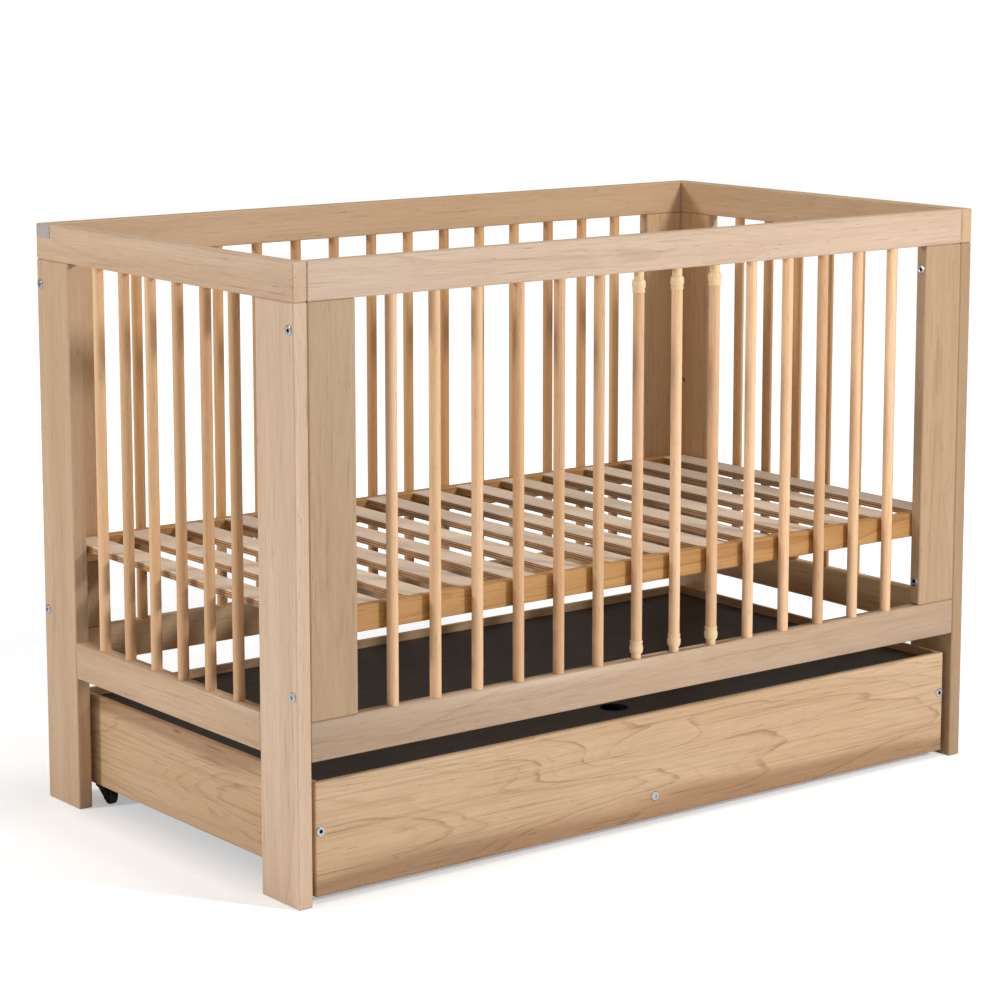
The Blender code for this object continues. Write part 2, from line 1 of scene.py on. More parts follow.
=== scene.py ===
"""Looks of a slatted baby crib with a lidded drawer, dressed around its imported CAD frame.

Metres, +Z up, feet on Z = 0, +X along the length, the drawer side facing -Y. Boards keep their CAD
meshes and get their wood here. Spindles, lift-out bars, fastenings and casters are modelled anew.
"""

import logging
import math
import random
from dataclasses import dataclass, field
from enum import Enum
from typing import Iterable, Sequence

import bmesh
import bpy
from mathutils import Matrix, Vector

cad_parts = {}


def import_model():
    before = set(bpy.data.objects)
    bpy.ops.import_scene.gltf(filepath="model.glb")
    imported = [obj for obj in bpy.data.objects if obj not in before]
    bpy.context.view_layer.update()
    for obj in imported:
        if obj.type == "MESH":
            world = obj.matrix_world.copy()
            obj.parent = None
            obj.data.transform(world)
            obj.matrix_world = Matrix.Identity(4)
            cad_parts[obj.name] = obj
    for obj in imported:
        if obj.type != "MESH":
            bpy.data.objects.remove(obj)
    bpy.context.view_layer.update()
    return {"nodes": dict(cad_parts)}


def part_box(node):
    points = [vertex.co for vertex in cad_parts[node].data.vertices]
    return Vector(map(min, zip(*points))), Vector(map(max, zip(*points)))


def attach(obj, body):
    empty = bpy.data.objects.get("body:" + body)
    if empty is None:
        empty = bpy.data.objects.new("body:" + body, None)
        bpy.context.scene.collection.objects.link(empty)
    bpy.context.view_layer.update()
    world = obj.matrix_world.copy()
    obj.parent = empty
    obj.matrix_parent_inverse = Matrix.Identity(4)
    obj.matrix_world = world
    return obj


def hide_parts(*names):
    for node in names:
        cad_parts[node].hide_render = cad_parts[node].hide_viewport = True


LOG = logging.getLogger("baby_crib")
MERGE = 1e-6
SMOOTH_BELOW = math.radians(35)
TAGS = ("left", "right")
ENDS = ("front", "back")
Colour = tuple[float, float, float, float]
Socket = bpy.types.NodeSocket


class Axis(Enum):
    """A direction that a board's grain or face takes."""

    X = (1.0, 0.0, 0.0)
    Y = (0.0, 1.0, 0.0)
    Z = (0.0, 0.0, 1.0)

    @property
    def vector(self) -> Vector:
        """The unit vector along this axis."""
        return Vector(self.value)

    @property
    def turn(self) -> Matrix:
        """The rotation that lays local Z along this axis."""
        return Vector((0, 0, 1)).rotation_difference(self.vector).to_matrix().to_4x4()


def paint(red: int, green: int, blue: int) -> Colour:
    """Turns a screen colour into the linear one that a shader takes.

    Args:
        red: red, 0 to 255.
        green: green, 0 to 255.
        blue: blue, 0 to 255.

    Returns:
        The linear colour with an alpha of 1.
    """
    def linear(level: int) -> float:
        share = level / 255
        return share / 12.92 if share <= 0.04045 else ((share + 0.055) / 1.055) ** 2.4

    return (linear(red), linear(green), linear(blue), 1.0)


def shaded(colour: Colour, shade: float, warmth: float = 0.0) -> Colour:
    """A lighter, darker or warmer copy of a colour.

    Args:
        colour: the linear colour to start from.
        shade: multiplies all of it.
        warmth: lifts red and lowers blue by this share.

    Returns:
        The changed colour.
    """
    red, green, blue, alpha = colour
    return (red * shade * (1 + warmth / 2), green * shade, blue * shade * (1 - warmth), alpha)


class Graph:
    """Wires the nodes of one tree."""

    def __init__(self, tree: bpy.types.NodeTree) -> None:
        """Takes the tree to work in."""
        self.tree = tree

    def add(self, kind: str, **settings: object) -> bpy.types.Node:
        """Adds a node.

        Args:
            kind: the node's type name.
            settings: properties to set on it.

        Returns:
            The new node.
        """
        node = self.tree.nodes.new(kind)
        for name, value in settings.items():
            setattr(node, name, value)
        return node

    def feed(self, socket: Socket, value: object) -> None:
        """Links a socket to the given one, or sets its constant."""
        if isinstance(value, Socket):
            self.tree.links.new(value, socket)
        else:
            socket.default_value = value

    def maths(self, operation: str, *values: object, clamp: bool = False) -> Socket:
        """A Math node over the given values."""
        node = self.add("ShaderNodeMath", operation=operation, use_clamp=clamp)
        for socket, value in zip(node.inputs, values):
            self.feed(socket, value)
        return node.outputs["Value"]

    def vector(self, operation: str, *values: object) -> bpy.types.Node:
        """A Vector Math node over the given values."""
        node = self.add("ShaderNodeVectorMath", operation=operation)
        for socket, value in zip(node.inputs, values):
            self.feed(socket, value)
        return node

    def noise(self, position: Socket, stretch: Sequence[float], detail: float = 2.0) -> Socket:
        """Noise whose cells are 1 / stretch metres along each axis."""
        scaled = self.vector("MULTIPLY", position, tuple(stretch)).outputs["Vector"]
        node = self.add("ShaderNodeTexNoise")
        self.feed(node.inputs["Vector"], scaled)
        self.feed(node.inputs["Scale"], 1.0)
        self.feed(node.inputs["Detail"], detail)
        return node.outputs["Fac"]

    def step(self, value: Socket, low: float, high: float, start: float = 0.0, end: float = 1.0) -> Socket:
        """A smooth rise from start to end while value goes from low to high."""
        node = self.add("ShaderNodeMapRange", interpolation_type="SMOOTHSTEP")
        for name, number in (("Value", value), ("From Min", low), ("From Max", high), ("To Min", start),
                             ("To Max", end)):
            self.feed(node.inputs[name], number)
        return node.outputs["Result"]

    def blend(self, share: object, first: object, second: object, mode: str = "MIX") -> Socket:
        """A colour mix of first and second."""
        node = self.add("ShaderNodeMix", data_type="RGBA", blend_type=mode)
        colours = [socket for socket in node.inputs if socket.type == "RGBA"]
        self.feed(node.inputs[0], share)
        self.feed(colours[0], first)
        self.feed(colours[1], second)
        return next(socket for socket in node.outputs if socket.type == "RGBA")


def new_group(name: str, inputs: Iterable[tuple[str, str]], outputs: Iterable[tuple[str, str]]
              ) -> tuple[Graph, bpy.types.NodeOutputs, bpy.types.NodeInputs]:
    """Starts a shader node group.

    Args:
        name: the group's name.
        inputs: (name, kind) of each input, where kind is Float, Vector or Color.
        outputs: the same for each output.

    Returns:
        The group's graph, the sockets that carry its inputs, and those that take its outputs.
    """
    tree = bpy.data.node_groups.new(name, "ShaderNodeTree")
    for side, sockets in (("INPUT", inputs), ("OUTPUT", outputs)):
        for label, kind in sockets:
            tree.interface.new_socket(label, in_out=side, socket_type=f"NodeSocket{kind}")
    graph = Graph(tree)
    return graph, graph.add("NodeGroupInput").outputs, graph.add("NodeGroupOutput").inputs


def planed_wood_group() -> bpy.types.NodeTree:
    """The figure of a sawn and varnished board, built once.

    Its Vector runs +X along the grain, with the tree's pith on the X axis, so growth rings are
    cones about it: a flat cut shows arches and a steep one shows straight lines.

    Returns:
        The node group.
    """
    found = bpy.data.node_groups.get("planed_wood")
    if found:
        return found
    graph, given, out = new_group(
        "planed_wood",
        [("Vector", "Vector"), ("Light", "Color"), ("Deep", "Color"), ("Line", "Color"), ("Streak", "Color"),
         ("Ring Width", "Float"), ("Taper", "Float"), ("Sway", "Float"), ("Line Strength", "Float"),
         ("Streak Strength", "Float"), ("Fleck Strength", "Float"), ("Eye Centre", "Vector"),
         ("Eye Size", "Vector"), ("Eye Rise", "Float"), ("Band Edge", "Float"), ("Band Strength", "Float")],
        [("Color", "Color"), ("Roughness", "Float"), ("Height", "Float")])
    place = given["Vector"]
    split = graph.add("ShaderNodeSeparateXYZ")
    graph.feed(split.inputs[0], place)
    along, across = split.outputs["X"], split.outputs["Y"]
    flat = graph.vector("MULTIPLY", place, (0, 1, 1)).outputs["Vector"]
    radius = graph.vector("LENGTH", flat).outputs["Value"]
    slow = graph.maths("SUBTRACT", graph.noise(place, (2.6, 15, 15), 1.0), 0.5)
    quick = graph.maths("SUBTRACT", graph.noise(place, (13, 85, 85), 2.0), 0.5)
    eye = graph.vector("DIVIDE", graph.vector("SUBTRACT", place, given["Eye Centre"]).outputs["Vector"],
                       given["Eye Size"]).outputs["Vector"]
    reach = graph.vector("DOT_PRODUCT", eye, eye).outputs["Value"]
    rise = graph.maths("MULTIPLY", graph.maths("EXPONENT", graph.maths("MULTIPLY", reach, -1.0)),
                       given["Eye Rise"])
    depth = graph.maths("ADD", radius, graph.maths("MULTIPLY", along, given["Taper"]))
    depth = graph.maths("MULTIPLY_ADD", slow, given["Sway"], depth)
    depth = graph.maths("MULTIPLY_ADD", quick, graph.maths("MULTIPLY", given["Sway"], 0.11), depth)
    depth = graph.maths("ADD", depth, rise)
    phase = graph.maths("DIVIDE", depth, given["Ring Width"])
    share = graph.maths("FRACT", phase)
    chance = graph.add("ShaderNodeTexWhiteNoise", noise_dimensions="1D")
    graph.feed(chance.inputs["W"], graph.maths("FLOOR", phase))
    luck = chance.outputs["Value"]
    late = graph.maths("MULTIPLY", graph.step(share, 0.55, 0.93), graph.step(share, 0.93, 1.0, 1.0, 0.0))
    broken = graph.step(graph.noise(place, (11, 120, 120), 2.0), 0.36, 0.60, 0.25, 1.0)
    lines = graph.maths("MULTIPLY", late, broken)
    lines = graph.maths("MULTIPLY", lines, graph.step(luck, 0.1, 1.0, 0.15, 1.0))
    tone = graph.step(graph.noise(place, (1.3, 26, 26), 2.0), 0.25, 0.75)
    tone = graph.maths("MULTIPLY_ADD", luck, 0.16, graph.maths("MULTIPLY", tone, 0.60))
    fibre = graph.noise(place, (26, 760, 760), 3.0)
    threads = graph.step(graph.noise(place, (3.2, 330, 330), 2.0), 0.50, 0.72)
    streaks = graph.step(graph.noise(place, (8, 230, 230), 3.0), 0.60, 0.76)
    flecks = graph.step(graph.noise(place, (42, 620, 620), 2.0), 0.66, 0.76)
    edge = graph.maths("MULTIPLY_ADD", slow, 0.05, across)
    past = graph.maths("SUBTRACT", edge, given["Band Edge"])
    band = graph.maths("MULTIPLY", graph.step(past, -0.012, 0.012, 1.0, 0.0), given["Band Strength"])
    colour = graph.blend(tone, given["Light"], given["Deep"])
    colour = graph.blend(graph.maths("MULTIPLY", band, 0.70), colour, given["Line"])
    strength = graph.maths("MULTIPLY_ADD", band, 0.35, given["Line Strength"])
    colour = graph.blend(graph.maths("MULTIPLY", lines, strength, clamp=True), colour, given["Line"])
    faint = graph.maths("MULTIPLY", given["Line Strength"], 0.5)
    colour = graph.blend(graph.maths("MULTIPLY", threads, faint), colour, given["Line"])
    lot = graph.maths("MULTIPLY_ADD", band, 0.35, given["Streak Strength"])
    colour = graph.blend(graph.maths("MULTIPLY", streaks, lot, clamp=True), colour, given["Streak"])
    colour = graph.blend(graph.maths("MULTIPLY", flecks, given["Fleck Strength"]), colour, given["Streak"])
    cells = graph.add("ShaderNodeTexVoronoi", voronoi_dimensions="3D", feature="F1", distance="EUCLIDEAN")
    graph.feed(cells.inputs["Vector"], graph.vector("MULTIPLY", place, (2.6, 11, 11)).outputs["Vector"])
    cells.inputs["Scale"].default_value = 1.0
    rare = graph.add("ShaderNodeSeparateColor")
    graph.feed(rare.inputs[0], cells.outputs["Color"])
    knot = graph.maths("MULTIPLY", graph.step(cells.outputs["Distance"], 0.018, 0.050, 1.0, 0.0),
                       graph.step(rare.outputs[0], 0.45, 0.50))
    colour = graph.blend(graph.maths("MULTIPLY", knot, 0.85), colour, given["Streak"])
    grey = graph.step(fibre, 0.25, 0.75, 0.92, 1.06)
    shade = graph.add("ShaderNodeCombineColor")
    for socket in shade.inputs:
        graph.feed(socket, grey)
    graph.feed(out["Color"], graph.blend(1.0, colour, shade.outputs["Color"], "MULTIPLY"))
    graph.feed(out["Roughness"], graph.step(fibre, 0.2, 0.8, 0.40, 0.56))
    relief = graph.maths("MULTIPLY_ADD", lines, -0.5, fibre)
    graph.feed(out["Height"], graph.maths("MULTIPLY_ADD", flecks, -0.8, relief))
    return graph.tree


def moulded_group() -> bpy.types.NodeTree:
    """Fine moulded texture and handling marks of a hard surface, built once.

    Returns:
        The node group.
    """
    found = bpy.data.node_groups.get("moulded_surface")
    if found:
        return found
    graph, given, out = new_group(
        "moulded_surface",
        [("Vector", "Vector"), ("Color", "Color"), ("Worn", "Color"), ("Grain", "Float"), ("Low", "Float"),
         ("High", "Float")],
        [("Color", "Color"), ("Roughness", "Float"), ("Height", "Float")])
    place = given["Vector"]
    fine = graph.vector("SCALE", place)
    graph.feed(fine.inputs["Scale"], given["Grain"])
    grain = graph.noise(fine.outputs["Vector"], (1, 1, 1), 2.0)
    marks = graph.step(graph.noise(place, (240, 60, 240), 3.0), 0.52, 0.72)
    cloud = graph.noise(place, (70, 70, 70), 2.0)
    graph.feed(out["Color"], graph.blend(graph.maths("MULTIPLY", marks, 0.5), given["Color"], given["Worn"]))
    span = graph.maths("SUBTRACT", given["High"], given["Low"])
    graph.feed(out["Roughness"], graph.maths("MULTIPLY_ADD", cloud, span, given["Low"]))
    graph.feed(out["Height"], graph.maths("MULTIPLY_ADD", marks, 0.6, grain))
    return graph.tree


@dataclass(frozen=True)
class Cut:
    """Where in the tree one board was sawn, and how its tone differs: its own tone, and for many boards
    painted light and shade.

    Lengths are in metres from the middle of the board, along and across its grain.
    """

    # shade and warmth carry a board's own tone and, for many panel boards and spindle rows, painted light and
    # shade: lighter where the lamps fall, darker and warmer where the board faces away from them.
    shade: float = 1.0
    warmth: float = 0.0
    off_pith: float = 0.0
    depth: float = 0.13
    eye: tuple[float, float] | None = None
    eye_size: tuple[float, float] = (0.09, 0.016)
    eye_rise: float = 0.022
    band: float | None = None
    band_above: bool = False


@dataclass(frozen=True)
class Wood:
    """A varnished timber, dressed board by board."""

    name: str
    light: Colour
    deep: Colour
    line: Colour
    streak: Colour
    ring: float = 0.0042
    taper: float = 0.045
    sway: float = 0.030
    lines: float = 0.45
    streaks: float = 0.35
    flecks: float = 0.30
    relief: float = 0.25
    coat: float = 0.08

    def finish_colour(self, graph: Graph, colour: Socket, axes: tuple[Vector, Vector]) -> Socket:
        """Hook for finishes that change the board's colour further; plain wood keeps it."""
        return colour

    def dress(self, piece: bpy.types.Object, grain: Axis, face: Axis, cut: Cut = Cut()) -> None:
        """Gives a piece its own material, its grain along one axis and its broad face along another.

        Args:
            piece: the object to dress.
            grain: the direction of the fibres.
            face: the direction that the broad face looks in.
            cut: where the board was sawn and its own tone.
        """
        draw = random.Random(piece.name)
        low, high = bounds_of(piece)
        rows = (grain.vector, face.vector.cross(grain.vector), face.vector)
        turn = Matrix(rows)
        middle = Vector((draw.uniform(-3, 3), cut.off_pith + draw.uniform(-0.012, 0.012), cut.depth))
        if cut.band_above:
            turn = Matrix((rows[0], -rows[1], -rows[2]))
        material, graph, shader = blank_material(f"{piece.name}_{self.name}")
        coordinates = graph.add("ShaderNodeTexCoord").outputs["Object"]
        mapping = graph.add("ShaderNodeMapping", vector_type="POINT")
        graph.feed(mapping.inputs["Vector"], coordinates)
        mapping.inputs["Rotation"].default_value = turn.to_euler("XYZ")
        mapping.inputs["Location"].default_value = middle - turn @ ((low + high) / 2)
        figure = graph.add("ShaderNodeGroup", node_tree=planed_wood_group())
        graph.feed(figure.inputs["Vector"], mapping.outputs["Vector"])
        for label, colour in (("Light", self.light), ("Deep", self.deep), ("Line", self.line),
                              ("Streak", self.streak)):
            figure.inputs[label].default_value = shaded(colour, cut.shade, cut.warmth)
        eye = cut.eye or (0.0, 0.0)
        band = -1.0 if cut.band is None else cut.band
        for label, number in (
                ("Ring Width", self.ring), ("Taper", self.taper * draw.choice((-1, 1))), ("Sway", self.sway),
                ("Line Strength", self.lines), ("Streak Strength", self.streaks),
                ("Fleck Strength", self.flecks), ("Eye Rise", cut.eye_rise if cut.eye else 0.0),
                ("Band Edge", middle.y + band), ("Band Strength", 0.0 if cut.band is None else 1.0)):
            figure.inputs[label].default_value = number
        figure.inputs["Eye Centre"].default_value = middle + Vector((*eye, 0))
        figure.inputs["Eye Size"].default_value = (*cut.eye_size, 1.0)
        colour = self.finish_colour(graph, figure.outputs["Color"], (grain.vector, face.vector))
        graph.feed(shader.inputs["Base Color"], colour)
        graph.feed(shader.inputs["Roughness"], figure.outputs["Roughness"])
        shader.inputs["Coat Weight"].default_value = self.coat
        shader.inputs["Coat Roughness"].default_value = 0.35
        bump_into(graph, shader, figure.outputs["Height"], self.relief, 0.0002)
        wear(piece, material)


@dataclass(frozen=True)
class Rods(Wood):
    """Turned rods in a row, each from its own stick of timber."""

    row: Axis = Axis.X
    pitch: float = 0.07
    least: float = 0.78

    def finish_colour(self, graph: Graph, colour: Socket, axes: tuple[Vector, Vector]) -> Socket:
        """Gives every rod of the row a tone of its own."""
        coordinates = graph.add("ShaderNodeTexCoord").outputs["Object"]
        reach = graph.vector("DOT_PRODUCT", coordinates, self.row.value).outputs["Value"]
        chance = graph.add("ShaderNodeTexWhiteNoise", noise_dimensions="1D")
        graph.feed(chance.inputs["W"], graph.maths("FLOOR", graph.maths("DIVIDE", reach, self.pitch)))
        luck = chance.outputs["Value"]
        tint = graph.blend(luck, (self.least, self.least * 0.90, self.least * 0.80, 1), (1.06, 1.06, 1.06, 1))
        return graph.blend(1.0, colour, tint, "MULTIPLY")


@dataclass(frozen=True)
class Plywood(Wood):
    """Glued plies: plain wood on the faces, stripes on the sawn edges."""

    ply: float = 0.0037
    pale: Colour = paint(204, 158, 106)
    brown: Colour = paint(136, 88, 50)

    def finish_colour(self, graph: Graph, colour: Socket, axes: tuple[Vector, Vector]) -> Socket:
        """Lays the ply stripes over every face that isn't the broad one."""
        face = tuple(axes[1])
        coordinates = graph.add("ShaderNodeTexCoord")
        height = graph.vector("DOT_PRODUCT", coordinates.outputs["Object"], face).outputs["Value"]
        waver = graph.maths("SUBTRACT", graph.noise(coordinates.outputs["Object"], (25, 25, 25), 1.0), 0.5)
        height = graph.maths("MULTIPLY_ADD", waver, self.ply * 0.25, height)
        share = graph.maths("FRACT", graph.maths("DIVIDE", height, self.ply))
        dark = graph.maths("MULTIPLY", graph.step(share, 0.48, 0.58), graph.step(share, 0.88, 1.0, 1.0, 0.0))
        stripes = graph.blend(dark, self.pale, self.brown)
        smear = graph.noise(coordinates.outputs["Object"], (14, 14, 1100), 2.0)
        streaky = graph.step(smear, 0.35, 0.75, 0.0, 0.45)
        stripes = graph.blend(streaky, stripes, self.brown)
        facing = graph.vector("DOT_PRODUCT", coordinates.outputs["Normal"], face).outputs["Value"]
        side = graph.step(graph.maths("ABSOLUTE", facing), 0.4, 0.6, 1.0, 0.0)
        return graph.blend(side, colour, stripes)


@dataclass(frozen=True)
class Hard:
    """A moulded plastic or a plated metal."""

    name: str
    colour: Colour
    worn: Colour
    grain: float = 1400.0
    low: float = 0.3
    high: float = 0.5
    metallic: float = 0.0
    relief: float = 0.15

    def dress(self, piece: bpy.types.Object) -> None:
        """Gives a piece its own material of this kind."""
        material, graph, shader = blank_material(f"{piece.name}_{self.name}")
        surface = graph.add("ShaderNodeGroup", node_tree=moulded_group())
        graph.feed(surface.inputs["Vector"], graph.add("ShaderNodeTexCoord").outputs["Object"])
        for label, value in (("Color", self.colour), ("Worn", self.worn), ("Grain", self.grain),
                             ("Low", self.low), ("High", self.high)):
            surface.inputs[label].default_value = value
        graph.feed(shader.inputs["Base Color"], surface.outputs["Color"])
        graph.feed(shader.inputs["Roughness"], surface.outputs["Roughness"])
        shader.inputs["Metallic"].default_value = self.metallic
        bump_into(graph, shader, surface.outputs["Height"], self.relief, 0.0001)
        wear(piece, material)


def blank_material(name: str) -> tuple[bpy.types.Material, Graph, bpy.types.Node]:
    """A new material with its graph and its Principled shader."""
    material = bpy.data.materials.new(name)
    material.use_nodes = True
    return material, Graph(material.node_tree), material.node_tree.nodes["Principled BSDF"]


def bump_into(graph: Graph, shader: bpy.types.Node, height: Socket, strength: float, distance: float) -> None:
    """Feeds a height into the shader's normal.

    Args:
        graph: the material's graph.
        shader: its Principled shader.
        height: the relief, 0 to about 1.
        strength: how much of it shows.
        distance: the depth in metres that a height of 1 stands for.
    """
    bump = graph.add("ShaderNodeBump")
    bump.inputs["Strength"].default_value = strength
    bump.inputs["Distance"].default_value = distance
    graph.feed(bump.inputs["Height"], height)
    graph.feed(shader.inputs["Normal"], bump.outputs["Normal"])


def wear(piece: bpy.types.Object, material: bpy.types.Material) -> None:
    """Puts one material on a piece in place of any it had."""
    piece.data.materials.clear()
    piece.data.materials.append(material)


def bounds_of(piece: bpy.types.Object) -> tuple[Vector, Vector]:
    """The lowest and highest corners of a mesh whose object sits at the origin."""
    points = [vertex.co for vertex in piece.data.vertices]
    return (Vector(min(point[axis] for point in points) for axis in range(3)),
            Vector(max(point[axis] for point in points) for axis in range(3)))


def add_board(bm: bmesh.types.BMesh, low: Vector, high: Vector, ease: float, segments: int = 3) -> None:
    """Adds a block with rounded edges between two corners.

    Args:
        bm: the mesh to add to.
        low: its lowest corner.
        high: its highest corner.
        ease: the radius of its edges.
        segments: how many faces round each edge has.
    """
    made = bmesh.ops.create_cube(bm, size=1.0)["verts"]
    bmesh.ops.scale(bm, verts=made, vec=high - low)
    bmesh.ops.translate(bm, verts=made, vec=(low + high) / 2)
    edges = {edge for vertex in made for edge in vertex.link_edges}
    bmesh.ops.bevel(bm, geom=list(edges), offset=ease, segments=segments, profile=0.5, affect="EDGES",
                    material=-1)


def add_turned(bm: bmesh.types.BMesh, profile: Sequence[tuple[float, float]], place: Vector, axis: Axis,
               steps: int = 32, flip: bool = False) -> list[bmesh.types.BMVert]:
    """Adds a shape turned about an axis.

    Args:
        bm: the mesh to add to.
        profile: (radius, distance along the axis) of each point, from one end to the other.
        place: the point that distances are measured from.
        axis: the direction of the turning axis.
        steps: how many faces go round.
        flip: whether distances run against the axis.

    Returns:
        The new vertices.
    """
    before = set(bm.verts)
    way = -1 if flip else 1
    spots = [bm.verts.new((radius, 0, way * along)) for radius, along in profile]
    edges = [bm.edges.new(two) for two in zip(spots, spots[1:])]
    bmesh.ops.spin(bm, geom=spots + edges, cent=(0, 0, 0), axis=(0, 0, 1), angle=math.tau, steps=steps,
                   use_merge=True, use_duplicate=False)
    made = [vertex for vertex in bm.verts if vertex not in before]
    bmesh.ops.remove_doubles(bm, verts=made, dist=MERGE)
    made = [vertex for vertex in bm.verts if vertex not in before]
    bmesh.ops.transform(bm, matrix=Matrix.Translation(place) @ axis.turn, verts=made)
    return made


def cut_hex_socket(bm: bmesh.types.BMesh, rim: Sequence[bmesh.types.BMEdge], centre: Vector, axis: Axis,
                   across: float, depth: float) -> None:
    """Closes a round opening with a hexagon socket.

    Args:
        bm: the mesh that holds the opening.
        rim: the open edges round it, a multiple of six of them.
        centre: the middle of the opening.
        axis: the direction the screw lies in.
        across: the size of the hexagon between two flats.
        depth: how far the socket goes in, against the axis where it is negative.
    """
    made = bmesh.ops.create_circle(bm, cap_ends=False, segments=6, radius=across / math.sqrt(3),
                                   matrix=Matrix.Translation(centre) @ axis.turn)["verts"]
    hexagon = list({edge for vertex in made for edge in vertex.link_edges})
    split = bmesh.ops.subdivide_edges(bm, edges=hexagon, cuts=len(rim) // 6 - 1)["geom_split"]
    hexagon = [item for item in split if isinstance(item, bmesh.types.BMEdge)]
    bmesh.ops.bridge_loops(bm, edges=list(rim) + hexagon)
    sunk = bmesh.ops.extrude_edge_only(bm, edges=hexagon)["geom"]
    low = [item for item in sunk if isinstance(item, bmesh.types.BMVert)]
    bmesh.ops.translate(bm, verts=low, vec=axis.vector * depth)
    floor = [item for item in sunk if isinstance(item, bmesh.types.BMEdge)]
    bmesh.ops.holes_fill(bm, edges=floor, sides=0)


def open_rim(bm: bmesh.types.BMesh, centre: Vector, reach: float) -> list[bmesh.types.BMEdge]:
    """The open edges of a mesh that lie near a point."""
    return [edge for edge in bm.edges
            if edge.is_boundary and all((vertex.co - centre).length < reach for vertex in edge.verts)]


def make_piece(name: str, bm: bmesh.types.BMesh, body: str, nodes: Sequence[str] = ()
               ) -> bpy.types.Object:
    """Turns a finished mesh into a piece of the crib.

    Args:
        name: the piece's name.
        bm: its mesh, in place, which is freed.
        body: the CAD body it moves with.
        nodes: the CAD nodes it stands for.

    Returns:
        The piece, still without a material.
    """
    bmesh.ops.recalc_face_normals(bm, faces=bm.faces)
    mesh = bpy.data.meshes.new(name)
    bm.to_mesh(mesh)
    bm.free()
    mesh.shade_smooth()
    mesh.set_sharp_from_angle(angle=SMOOTH_BELOW)
    piece = bpy.data.objects.new(name, mesh)
    bpy.context.scene.collection.objects.link(piece)
    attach(piece, body)
    if nodes:
        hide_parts(*nodes)
    LOG.info("%s: %d faces on %s", name, len(mesh.polygons), body)
    return piece


BOARD_WOOD = Wood("board_wood", paint(216, 187, 159), paint(196, 163, 131), paint(164, 126, 94),
                  paint(122, 84, 58), ring=0.0034, taper=0.016, sway=0.018, lines=0.26, streaks=0.34,
                  flecks=0.50)
DRAWER_WOOD = Wood("drawer_wood", paint(218, 184, 146), paint(196, 156, 114), paint(150, 108, 70),
                   paint(104, 68, 42), ring=0.0044, taper=0.050, sway=0.034, lines=0.60, streaks=0.36,
                   flecks=0.50)
BEAM_PINE = Wood("beam_pine", paint(206, 162, 108), paint(176, 128, 76), paint(140, 94, 48),
                 paint(104, 62, 30), ring=0.0030, taper=0.012, sway=0.014, lines=0.50, streaks=0.30)
SLAT_PLY = Plywood("slat_plywood", paint(236, 216, 194), paint(222, 196, 168), paint(190, 152, 118),
                   paint(160, 120, 86), ring=0.0050, taper=0.010, sway=0.014, lines=0.25, streaks=0.25)
# Near black for the drawer's lid and bottom: painted shade that stands for the deep shade inside the drawer.
PAINTED_SHADE_PANEL = Wood("dark_panel", paint(26, 19, 15), paint(20, 15, 12), paint(14, 10, 8), paint(11, 8, 6),
                  lines=0.3, streaks=0.3, flecks=0.1, coat=0.0)
CAP_PLASTIC = Hard("cap_plastic", paint(238, 206, 160), paint(226, 190, 142), low=0.28, high=0.42)
BLACK_PLASTIC = Hard("black_plastic", paint(24, 24, 26), paint(46, 46, 48), low=0.32, high=0.5)
TREAD = Hard("wheel_tread", paint(34, 34, 35), paint(60, 59, 58), low=0.5, high=0.7, relief=0.3)
PLATED = Hard("zinc_plated", paint(206, 210, 214), paint(150, 152, 156), grain=2600, low=0.18, high=0.34,
              metallic=1.0)
LABEL_GREY = Hard("label_grey", paint(176, 168, 158), paint(150, 142, 134), low=0.4, high=0.55)


